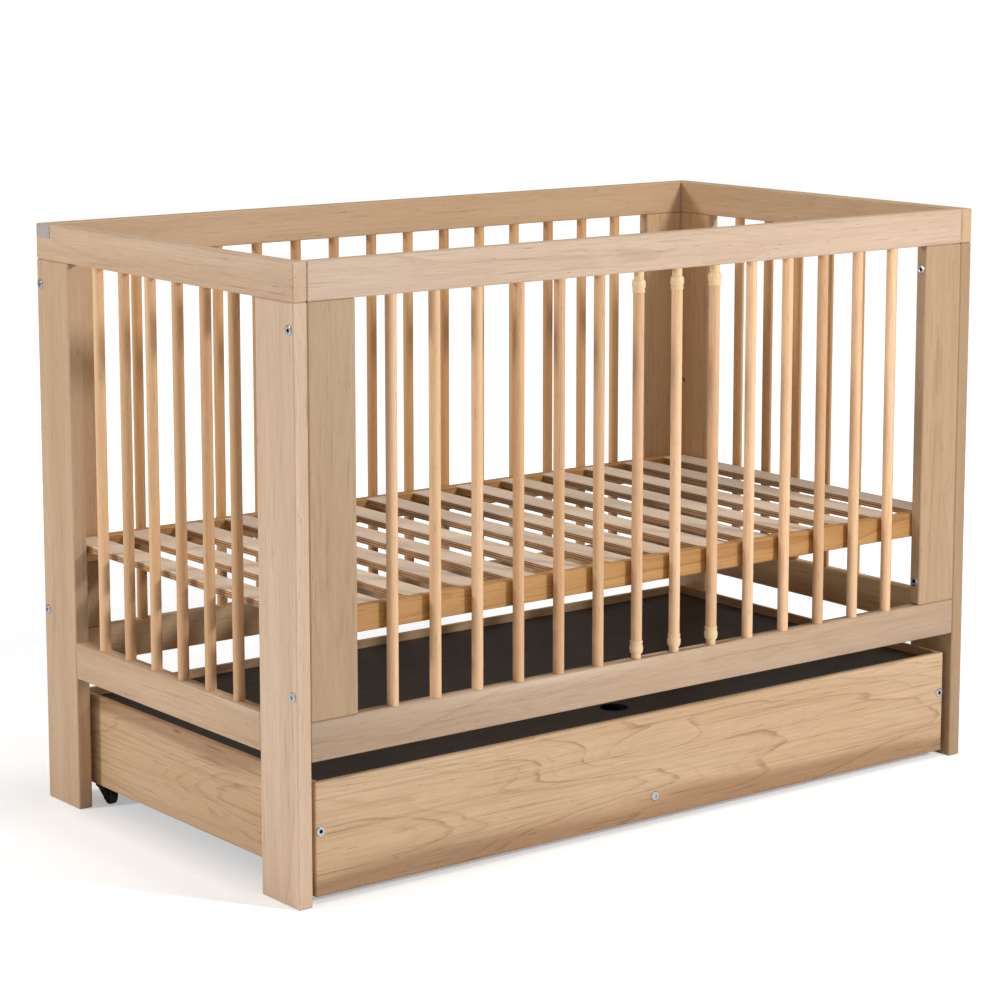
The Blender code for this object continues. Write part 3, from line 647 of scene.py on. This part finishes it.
@dataclass
class Panels:
    """The four panels: rails, posts and stiles in their own wood, and fresh round spindles."""

    nodes: dict[str, bpy.types.Object]
    rail_height: float = 0.054
    stub: float = 0.0001
    sunk: float = 0.002
    rod: float = 0.016
    rod_ease: float = 0.0006
    rod_steps: int = 32
    # Each board's or spindle row's cut; its shade and warmth also paint light and shade into the wood.
    cuts: dict[str, Cut] = field(default_factory=dict)

    def rail_copy(self, node: str) -> bmesh.types.BMesh:
        """A lower rail without the spindles that its CAD solid carries."""
        bm = bmesh.new()
        bm.from_mesh(self.nodes[node].data)
        bmesh.ops.remove_doubles(bm, verts=bm.verts, dist=MERGE * 10)
        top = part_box(node)[0].z + self.rail_height + self.stub
        bmesh.ops.bisect_plane(bm, geom=bm.verts[:] + bm.edges[:] + bm.faces[:], plane_co=(0, 0, top),
                               plane_no=(0, 0, 1), clear_outer=True)
        bmesh.ops.holes_fill(bm, edges=[edge for edge in bm.edges if edge.is_boundary], sides=0)
        return bm

    def rod_spots(self, node: str, row: Axis) -> list[Vector]:
        """Where the spindles stand on a lower rail, at its top.

        Args:
            node: the CAD node of the lower rail.
            row: the direction that the spindles stand in a row along.

        Returns:
            The middle of each spindle.
        """
        low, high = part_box(node)
        top = low.z + self.rail_height
        vertices = self.nodes[node].data.vertices
        points = [vertex.co for vertex in vertices if vertex.co.z > high.z - MERGE * 100]
        reaches = sorted({round(point @ row.vector, 5) for point in points})
        groups: list[list[float]] = []
        for reach in reaches:
            if groups and reach - groups[-1][0] < self.rod * 1.2:
                groups[-1].append(reach)
            else:
                groups.append([reach])
        thick = Axis.Y if row is Axis.X else Axis.X
        depth = sum(point @ thick.vector for point in (low, high)) / 2
        return [row.vector * ((group[0] + group[-1]) / 2) + thick.vector * depth + Vector((0, 0, top))
                for group in groups]

    def spindles(self, name: str, node: str, row: Axis, spots: list[Vector]) -> bpy.types.Object:
        """All glued spindles of one panel as one piece."""
        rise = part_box(node)[1].z - spots[0].z
        radius, ease = self.rod / 2, self.rod_ease
        profile = [(0, -self.sunk), (radius - ease, -self.sunk), (radius, ease - self.sunk),
                   (radius, rise - ease), (radius - ease, rise), (0, rise)]
        bm = bmesh.new()
        for spot in spots:
            add_turned(bm, profile, spot, Axis.Z, self.rod_steps)
        return make_piece(name, bm, "crib_frame")

    def build(self, rods: Rods) -> None:
        """Builds the lower rails and spindles, then dresses every board of the four panels."""
        for end in ENDS:
            self.build_low(f"{end}_lower_rail", f"{end}_spindles", Axis.X, rods)
        for tag in TAGS:
            self.build_low(f"{tag}_end_lower_rail", f"{tag}_end_spindles", Axis.Y, rods)
        for end in ENDS:
            self.dress(self.nodes[f"{end}_top_rail"], Axis.X, Axis.Y)
            for tag in TAGS:
                self.dress(self.nodes[f"{end}_{tag}_stile"], Axis.Z, Axis.Y)
                self.dress(self.nodes[f"{tag}_end_{end}_post"], Axis.Z, Axis.X)
        for tag in TAGS:
            self.dress(self.nodes[f"{tag}_end_top_rail"], Axis.Y, Axis.X)

    def build_low(self, node: str, rods_name: str, row: Axis, rods: Rods) -> None:
        """One lower rail and the spindles that stand on it."""
        face = Axis.Y if row is Axis.X else Axis.X
        spots = self.rod_spots(node, row)
        rail = make_piece(f"{node}_board", self.rail_copy(node), "crib_frame", [node])
        self.dress(rail, row, face, node)
        stick = self.spindles(rods_name, node, row, spots)
        pitch = min((b - a).length for a, b in zip(spots, spots[1:]))
        finish = Rods(rods.name, rods.light, rods.deep, rods.line, rods.streak, ring=rods.ring, taper=0.01,
                      lines=rods.lines, streaks=rods.streaks, flecks=rods.flecks, row=row, pitch=pitch)
        # The row's cut can darken and warm its spindles as painted shade, as for the back and right panels.
        finish.dress(stick, Axis.Z, face, self.cuts.get(rods_name, Cut()))

    def dress(self, piece: bpy.types.Object, grain: Axis, face: Axis, node: str = "") -> None:
        """Dresses one board with the cut that was chosen for it, including any painted light or shade."""
        BOARD_WOOD.dress(piece, grain, face, self.cuts.get(node or piece.name, Cut()))


@dataclass
class LiftBars:
    """The three bars that lift out, each a rod between two plastic caps."""

    wood: Rods
    names: tuple[str, ...] = ("removable_bar_1", "removable_bar_2", "removable_bar_3")
    rod: float = 0.016
    collar: float = 0.0197
    neck: float = 0.0142
    collar_high: float = 0.018
    foot: float = 0.016
    head: float = 0.024
    ease: float = 0.0012
    steps: int = 48

    def cap_profile(self, tail: float) -> list[tuple[float, float]]:
        """Half a cap from the tip of its peg to the rod: peg, step, belly, bead and lip.

        Args:
            tail: how far the peg reaches beyond the collar.

        Returns:
            (radius, distance) of each point, with the collar starting at zero.
        """
        neck, belly, e = self.neck / 2, self.collar / 2, self.ease
        lip = self.rod / 2 + 0.0009
        swell = [(belly - 0.0007 * (1 - math.sin(turn)), e + 0.011 * turn / math.pi)
                 for turn in (math.pi * step / 6 for step in range(1, 6))]
        return [(0, -tail), (neck - e, -tail), (neck, e - tail), (neck, 0), (belly - 2 * e, 0),
                (belly - e, 0.4 * e), *swell, (belly - 1.1 * e, 0.0128), (belly - 1.1 * e, 0.0142),
                (belly - 0.6 * e, 0.0150), (belly - 0.6 * e, self.collar_high - e),
                (lip, self.collar_high), (self.rod / 2, self.collar_high), (0, self.collar_high)]

    def build(self) -> None:
        """Builds the rod and the two caps of each bar."""
        for number, node in enumerate(self.names, 1):
            low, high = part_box(node)
            middle = (low + high) / 2
            bottom = Vector((middle.x, middle.y, low.z + self.foot))
            top = Vector((middle.x, middle.y, high.z - self.head))
            bm = bmesh.new()
            inset = self.collar_high - self.ease
            radius = self.rod / 2
            add_turned(bm, [(0, inset), (radius, inset), (radius, top.z - bottom.z - inset),
                            (0, top.z - bottom.z - inset)], bottom, Axis.Z, self.steps)
            rod = make_piece(f"lift_bar_{number}_rod", bm, node, [node])
            self.wood.dress(rod, Axis.Z, Axis.Y, Cut(shade=1.08, warmth=-0.05))
            for label, place, tail, flip in (("lower", bottom, self.foot, False),
                                             ("upper", top, self.head, True)):
                bm = bmesh.new()
                add_turned(bm, self.cap_profile(tail), place, Axis.Z, self.steps, flip)
                cap = make_piece(f"lift_bar_{number}_{label}_cap", bm, node)
                CAP_PLASTIC.dress(cap)


@dataclass
class SlattedBase:
    """Beams and cross slats, which keep their CAD meshes."""

    nodes: dict[str, bpy.types.Object]
    slats: int = 14

    def build(self) -> None:
        """Dresses the beams in pine and the slats in plywood."""
        cut = Cut(depth=0.06, shade=0.80, warmth=0.22)
        for end in ENDS:
            BEAM_PINE.dress(self.nodes[f"base_{end}_beam"], Axis.X, Axis.Y, cut)
        for number in range(1, self.slats + 1):
            shade = 1.0 - 0.05 * (number * 5 % 3)
            SLAT_PLY.dress(self.nodes[f"base_slat_{number:02d}"], Axis.Y, Axis.Z, Cut(shade=shade))
        LOG.info("slatted base: %d slats dressed", self.slats)


@dataclass
class Fastenings:
    """Corner bolts with their sleeve nuts, the drawer front's screws and the blank plate."""

    steps: int = 36
    head: float = 0.0138
    dome: float = 0.0004
    shank: float = 0.006
    sleeve: float = 0.008
    sleeve_long: float = 0.055
    hexagon: float = 0.005
    socket: float = 0.0015
    head_high: float = 0.002
    screw_long: float = 0.012
    screw_spots: tuple[tuple[float, float], ...] = ((-0.583, 0.100), (0.0, 0.043), (0.583, 0.104))
    plate: tuple[float, float, float] = (0.0010, 0.036, 0.019)
    edge: float = 0.0002
    lip: float = 0.0004
    round_share: float = 1.6
    rim_share: float = 0.66
    flat_share: float = 0.72
    tip_share: float = 0.8
    plate_from_back: float = 0.004
    plate_from_top: float = 0.001
    plate_ease: float = 0.0003

    def half_head(self, turned_in: float) -> list[tuple[float, float]]:
        """A domed head from the rim of its socket to its underside, at distance zero.

        Args:
            turned_in: the radius of what continues under the head.

        Returns:
            (radius, distance) of each point, from the outside in.
        """
        rim, out, high = self.hexagon * self.rim_share, self.head / 2, self.head_high
        bend = self.dome * self.round_share
        arc = [(out - bend * (1 - math.sin(turn)), high - self.dome - bend * (1 - math.cos(turn)))
               for turn in (math.pi / 2 * step / 4 for step in range(5))]
        return [(rim, high - self.edge), (rim + self.lip, high), (out * self.flat_share, high), *arc,
                (out, self.edge), (out - self.edge, 0), (turned_in, 0)]

    def corner_bolt(self, node: str, tag: str) -> None:
        """One bolt with its sleeve nut, from outer head to inner head."""
        low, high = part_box(node)
        way = 1 if tag == "left" else -1
        outer, inner = (low.x, high.x) if tag == "left" else (high.x, low.x)
        middle = (low + high) / 2
        place = Vector((outer, middle.y, middle.z))
        length = abs(inner - outer)
        near = [(radius, self.head_high - along) for radius, along in self.half_head(self.shank / 2)]
        far = [(radius, length - self.head_high + along)
               for radius, along in reversed(self.half_head(self.sleeve / 2))]
        start = length - self.head_high - self.sleeve_long
        profile = [*near, (self.shank / 2, start), (self.sleeve / 2, start), *far]
        bm = bmesh.new()
        add_turned(bm, profile, place, Axis.X, self.steps, flip=way < 0)
        for tip, inward in ((outer, way), (inner, -way)):
            centre = Vector((tip, middle.y, middle.z))
            rim = open_rim(bm, centre, self.hexagon)
            spot = centre + Vector((inward * self.edge, 0, 0))
            cut_hex_socket(bm, rim, spot, Axis.X, self.hexagon, inward * self.socket)
        piece = make_piece(f"{node}_turned", bm, "crib_frame", [node])
        PLATED.dress(piece)

    def drawer_screw(self, number: int, x: float, z: float) -> None:
        """One screw through the drawer front."""
        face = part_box("drawer_front")[0].y
        head = [(radius, -along) for radius, along in self.half_head(self.shank / 2)]
        profile = [*head, (self.shank / 2, self.screw_long * self.tip_share), (0, self.screw_long)]
        bm = bmesh.new()
        place = Vector((x, face, z))
        add_turned(bm, profile, place, Axis.Y, self.steps)
        centre = place - Vector((0, self.head_high - self.edge, 0))
        rim = open_rim(bm, centre, self.hexagon)
        cut_hex_socket(bm, rim, centre, Axis.Y, self.hexagon, self.socket)
        piece = make_piece(f"drawer_screw_{number}", bm, "drawer")
        PLATED.dress(piece)

    def blank_plate(self) -> None:
        """A small plain plate near the back corner of the left end's top rail."""
        low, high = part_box("left_end_top_rail")
        thick, wide, tall = self.plate
        corner = Vector((low.x - thick, high.y - self.plate_from_back - wide,
                         high.z - self.plate_from_top - tall))
        bm = bmesh.new()
        add_board(bm, corner, corner + Vector((thick + self.edge, wide, tall)), self.plate_ease)
        LABEL_GREY.dress(make_piece("blank_plate", bm, "crib_frame"))

    def build(self) -> None:
        """Builds all of them."""
        for end in ENDS:
            for tag in TAGS:
                for level in ("lower", "upper"):
                    self.corner_bolt(f"bolt_{end}_{tag}_{level}", tag)
        for number, (x, z) in enumerate(self.screw_spots, 1):
            self.drawer_screw(number, x, z)
        self.blank_plate()


@dataclass
class RollingDrawer:
    """The drawer's boards and panels, which keep their CAD meshes."""

    nodes: dict[str, bpy.types.Object]

    def build(self) -> None:
        """Dresses the boards in figured wood and the panels near black, a painted shade for the drawer's dark
        inside.
        """
        front = Cut(eye=(-0.02, 0.030), eye_size=(0.13, 0.022), eye_rise=0.034, band=-0.050, band_above=True,
                    shade=1.02, warmth=-0.05)
        DRAWER_WOOD.dress(self.nodes["drawer_front"], Axis.X, Axis.Y, front)
        DRAWER_WOOD.dress(self.nodes["drawer_back"], Axis.X, Axis.Y)
        for tag in TAGS:
            side = Cut(band=-0.045, band_above=True, depth=0.10)
            DRAWER_WOOD.dress(self.nodes[f"drawer_{tag}_side"], Axis.Y, Axis.X, side)
        DRAWER_WOOD.dress(self.nodes["drawer_batten"], Axis.Y, Axis.Z)
        # The lid and bottom are painted near black to stand for the deep shade inside the drawer.
        PAINTED_SHADE_PANEL.dress(self.nodes["drawer_bottom"], Axis.X, Axis.Z)
        PAINTED_SHADE_PANEL.dress(self.nodes["drawer_lid"], Axis.X, Axis.Z)
        LOG.info("drawer: boards and panels dressed")


@dataclass
class Casters:
    """Four swivel casters: mounting plate, swivelling fork and wheel."""

    steps: int = 48
    cheek: float = 0.0018
    axle: float = 0.004
    rivet: float = 0.0065
    trail: float = 0.010
    foot: float = 0.0055
    plate_thick: float = 0.0018
    plate_half: tuple[float, float] = (0.0135, 0.019)
    pin: float = 0.0058
    pin_edge: float = 0.0002
    disc_thick: float = 0.003
    disc_ease: float = 0.0008
    disc_drop: float = 0.003
    play: float = 0.0012
    cheek_half: float = 0.0135
    cheek_ease: float = 0.0004
    rivet_rise: float = 0.0009
    tread_ring: float = 0.0018
    dish: float = 0.0022

    def fork(self, label: str) -> None:
        """Disc, kingpin, two cheeks and the riveted axle."""
        node = f"caster_{label}_fork"
        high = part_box(node)[1]
        wheel_low, wheel_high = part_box(f"caster_{label}_wheel")
        hub = (wheel_low + wheel_high) / 2
        pin = Vector((hub.x, hub.y + self.trail, high.z))
        disc_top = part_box("drawer_bottom")[0].z - self.disc_drop
        radius = high.y - pin.y
        thick, ease = self.disc_thick, self.disc_ease
        reach = pin.z - disc_top
        pin_radius = self.pin / 2
        tip = reach - self.pin_edge
        profile = [(0, tip), (pin_radius - 0.0004, tip), (pin_radius, reach - 0.0008),
                   (pin_radius, 0), (radius - ease, 0), (radius, -ease), (radius, ease - thick),
                   (radius - ease, -thick), (radius * 0.55, -thick), (radius * 0.5, -thick - 0.0006),
                   (0, -thick - 0.0006)]
        bm = bmesh.new()
        add_turned(bm, profile, Vector((pin.x, pin.y, disc_top)), Axis.Z, self.steps)
        inner = (wheel_high.x - wheel_low.x) / 2 + self.play
        for side in (-1, 1):
            self.add_cheek(bm, hub, side * (inner + self.cheek / 2), disc_top - thick / 2)
        half = inner + self.cheek
        out = half + self.rivet_rise
        end = [(0, out), (self.rivet / 2 - 0.0006, out), (self.rivet / 2, half + 0.0003),
               (self.rivet / 2, half), (self.axle / 2, half)]
        profile = [*end, *((radius, -along) for radius, along in reversed(end))]
        add_turned(bm, profile, hub, Axis.X, 24)
        piece = make_piece(f"caster_{label}_housing", bm, f"caster_{label}_swivel", [node])
        BLACK_PLASTIC.dress(piece)

    def add_cheek(self, bm: bmesh.types.BMesh, hub: Vector, offset: float, top: float) -> None:
        """One cheek of the fork, drawn flat round its outline and given its thickness.

        Args:
            bm: the fork's mesh.
            hub: the middle of the axle.
            offset: where the middle of the cheek stands along X from the hub.
            top: the height where it meets the disc.
        """
        wide = self.cheek_half
        turns = (math.radians(-165 + step * 150 / 8) for step in range(9))
        foot = [(self.foot * math.cos(turn), self.foot * math.sin(turn)) for turn in turns]
        rise = top - hub.z
        outline = [(self.trail - wide, rise), (self.trail - wide, rise * 0.72), *foot,
                   (self.trail + wide * 0.55, rise * 0.45), (self.trail + wide, rise * 0.75),
                   (self.trail + wide, rise)]
        x = hub.x + offset - self.cheek / 2
        spots = [bm.verts.new((x, hub.y + y, hub.z + z)) for y, z in outline]
        face = bm.faces.new(spots)
        grown = bmesh.ops.extrude_face_region(bm, geom=[face])["geom"]
        moved = [item for item in grown if isinstance(item, bmesh.types.BMVert)]
        bmesh.ops.translate(bm, verts=moved, vec=(self.cheek, 0, 0))
        rims = {edge for item in (face, *(i for i in grown if isinstance(i, bmesh.types.BMFace)))
                if item.is_valid for edge in item.edges}
        bmesh.ops.bevel(bm, geom=list(rims), offset=self.cheek_ease, segments=2, profile=0.5, affect="EDGES",
                        material=-1)

    def wheel(self, label: str) -> None:
        """A tread with round shoulders on a dished hub."""
        node = f"caster_{label}_wheel"
        low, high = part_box(node)
        hub = (low + high) / 2
        half, rim = (high.x - low.x) / 2, (high.z - low.z) / 2
        bore, ring = self.axle / 2 + 0.0003, self.tread_ring
        shoulder = [(rim - ring + ring * math.sin(turn), half - 0.001 - ring + ring * math.cos(turn))
                    for turn in (math.pi / 2 * step / 5 for step in range(6))]
        side = [(bore, half), (0.0052, half), (0.0058, half - 0.0008), (0.0064, half - self.dish),
                (rim - 0.0046, half - self.dish), (rim - 0.0040, half - 0.001), *shoulder]
        loop = [*side, *((radius, -along) for radius, along in reversed(side)), side[0]]
        bm = bmesh.new()
        add_turned(bm, loop, hub, Axis.X, self.steps)
        piece = make_piece(f"caster_{label}_tyre", bm, f"caster_{label}_wheel", [node])
        TREAD.dress(piece)

    def plate(self, label: str) -> None:
        """The fixed plate over the fork, screwed up into the drawer."""
        hub_low, hub_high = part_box(f"caster_{label}_wheel")
        x, y = (hub_low.x + hub_high.x) / 2, (hub_low.y + hub_high.y) / 2 + self.trail
        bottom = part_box("drawer_bottom")[0].z
        half_x, half_y = self.plate_half
        low = Vector((x - half_x, y - half_y, bottom - 0.0003 - self.plate_thick))
        bm = bmesh.new()
        add_board(bm, low, Vector((x + half_x, y + half_y, bottom - 0.0003)), 0.0005)
        for side_x in (-1, 1):
            for side_y in (-1, 1):
                spot = Vector((x + side_x * (half_x - 0.004), y + side_y * (half_y - 0.004), low.z))
                add_turned(bm, [(0, 0.0008), (0.0022, 0.0008), (0.0022, -0.0002), (0.0014, -0.0006),
                                (0, -0.0006)], spot, Axis.Z, 16)
        piece = make_piece(f"caster_{label}_plate", bm, "drawer")
        BLACK_PLASTIC.dress(piece)

    def build(self) -> None:
        """Builds all four."""
        for end in ENDS:
            for tag in TAGS:
                self.fork(f"{end}_{tag}")
                self.wheel(f"{end}_{tag}")
                self.plate(f"{end}_{tag}")


@dataclass
class Studio:
    """Pale floor, soft lights and the camera."""

    focal: float = 106.4
    stand: tuple[float, float, float] = (-2.703, -3.463, 1.271)
    pitch: float = 8.92
    yaw: float = 37.66
    shift: float = -0.100
    floor_side: float = 240.0
    near_glow: float = 0.36
    far_glow: float = 0.77
    glow_reach: tuple[float, float] = (1.1, 2.6)
    far: float = 400.0
    sky: float = 0.28
    seen_sky: float = 1.05
    aim: tuple[float, float, float] = (0.0, 0.0, 0.4)
    lamps: tuple[tuple[str, tuple[float, float, float], float, float], ...] = (
        ("key", (1.0, -2.9, 1.6), 56.0, 0.22),
        ("side", (-3.8, 1.2, 1.7), 64.0, 0.35),
        ("top", (0.3, -0.4, 4.2), 55.0, 1.8))

    def floor(self) -> None:
        """A wide, slightly uneven pale floor, which the camera sees as white where nothing shades it."""
        bm = bmesh.new()
        bmesh.ops.create_grid(bm, x_segments=1, y_segments=1, size=self.floor_side / 2)
        mesh = bpy.data.meshes.new("studio_floor")
        bm.to_mesh(mesh)
        bm.free()
        floor = bpy.data.objects.new("studio_floor", mesh)
        bpy.context.scene.collection.objects.link(floor)
        material, graph, shader = blank_material("studio_floor")
        place = graph.add("ShaderNodeTexCoord").outputs["Object"]
        tone = graph.step(graph.noise(place, (3, 3, 3), 3.0), 0.2, 0.8, 0.0, 1.0)
        pale = graph.blend(tone, (0.90, 0.90, 0.90, 1), (0.92, 0.92, 0.92, 1))
        graph.feed(shader.inputs["Base Color"], pale)
        shader.inputs["Roughness"].default_value = 0.9
        shader.inputs["Specular IOR Level"].default_value = 0.1
        seen = graph.add("ShaderNodeLightPath").outputs["Is Camera Ray"]
        shader.inputs["Emission Color"].default_value = (1, 1, 1, 1)
        away = graph.vector("LENGTH", place).outputs["Value"]
        glow = graph.step(away, *self.glow_reach, self.near_glow, self.far_glow)
        graph.feed(shader.inputs["Emission Strength"], graph.maths("MULTIPLY", seen, glow))
        wear(floor, material)

    def sky_light(self) -> None:
        """Even white surroundings, brighter where the camera looks at them."""
        world = bpy.data.worlds.new("studio")
        world.use_nodes = True
        bpy.context.scene.world = world
        graph = Graph(world.node_tree)
        shader = world.node_tree.nodes["Background"]
        shader.inputs["Color"].default_value = (1, 1, 1, 1)
        seen = graph.add("ShaderNodeLightPath").outputs["Is Camera Ray"]
        graph.feed(shader.inputs["Strength"], graph.step(seen, 0.0, 1.0, self.sky, self.seen_sky))

    def lamp(self, name: str, stand: Sequence[float], aim: Sequence[float], power: float,
             side: float) -> None:
        """One square area light.

        Args:
            name: its name.
            stand: where it stands.
            aim: the point that it faces.
            power: its power in watts.
            side: the length of its side.
        """
        light = bpy.data.lights.new(name, "AREA")
        light.energy, light.shape, light.size = power, "SQUARE", side
        lamp = bpy.data.objects.new(name, light)
        lamp.location = stand
        lamp.rotation_euler = (Vector(aim) - Vector(stand)).to_track_quat("-Z", "Y").to_euler()
        bpy.context.scene.collection.objects.link(lamp)

    def camera(self) -> None:
        """The camera, a little above the top rail and to the left of the drawer side."""
        lens = bpy.data.cameras.new("view")
        lens.lens, lens.sensor_width, lens.shift_y = self.focal, 36.0, self.shift
        lens.clip_end = self.far
        camera = bpy.data.objects.new("view", lens)
        camera.location = self.stand
        camera.rotation_euler = (math.radians(90 - self.pitch), 0, math.radians(-self.yaw))
        bpy.context.scene.collection.objects.link(camera)
        bpy.context.scene.camera = camera

    def build(self) -> None:
        """Sets up everything that isn't the crib."""
        self.floor()
        self.sky_light()
        for name, stand, power, side in self.lamps:
            self.lamp(name, stand, self.aim, power, side)
        self.camera()
        bpy.context.scene.view_settings.view_transform = "Standard"


def board_cuts_with_painted_light_and_shade() -> dict[str, Cut]:
    """The boards whose tone or sawing isn't the usual one; besides their own tone, their shades and warmths
    paint in light and shade.
    """
    # Painted light and shade: boards are made lighter or darker for how the lamps fall on them, and the
    # inward-facing back and right boards and spindle rows are darker and warmer, standing for their shade and
    # warm bounced light.
    return {
        "front_top_rail": Cut(shade=1.0, warmth=-0.05),
        "front_lower_rail": Cut(shade=0.84, warmth=0.02, depth=0.10),
        "front_left_stile": Cut(shade=0.72, warmth=0.12),
        "front_right_stile": Cut(shade=0.72, warmth=0.14),
        "left_end_front_post": Cut(shade=1.14, warmth=-0.02),
        "left_end_back_post": Cut(shade=0.89, warmth=0.10),
        "left_end_top_rail": Cut(shade=1.0, warmth=0.03),
        "left_end_lower_rail": Cut(shade=0.96, warmth=0.08, depth=0.10),
        "right_end_front_post": Cut(shade=0.62, warmth=0.16),
        "right_end_back_post": Cut(warmth=0.18),
        "right_end_lower_rail": Cut(warmth=0.24),
        "right_end_top_rail": Cut(shade=0.90, warmth=0.14),
        "back_left_stile": Cut(shade=0.86, warmth=0.16),
        "back_right_stile": Cut(shade=0.86, warmth=0.18),
        "back_top_rail": Cut(shade=0.84, warmth=0.14),
        "back_lower_rail": Cut(shade=0.90, warmth=0.18),
        "back_spindles": Cut(shade=0.72, warmth=0.22),
        "right_end_spindles": Cut(shade=0.78, warmth=0.20),
        "left_end_spindles": Cut(shade=0.92, warmth=0.05),
    }


def main() -> None:
    """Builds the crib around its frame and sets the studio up."""
    logging.basicConfig(level=logging.INFO, format="%(name)s %(message)s")
    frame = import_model()
    nodes = frame["nodes"]
    rods = Rods("turned_beech", paint(248, 210, 168), paint(234, 186, 138), paint(200, 148, 102),
                paint(140, 90, 52), lines=0.35, streaks=0.30, flecks=0.55)
    Panels(nodes, cuts=board_cuts_with_painted_light_and_shade()).build(rods)
    LiftBars(rods).build()
    SlattedBase(nodes).build()
    Fastenings().build()
    RollingDrawer(nodes).build()
    Casters().build()
    Studio().build()


if __name__ == "__main__":
    main()
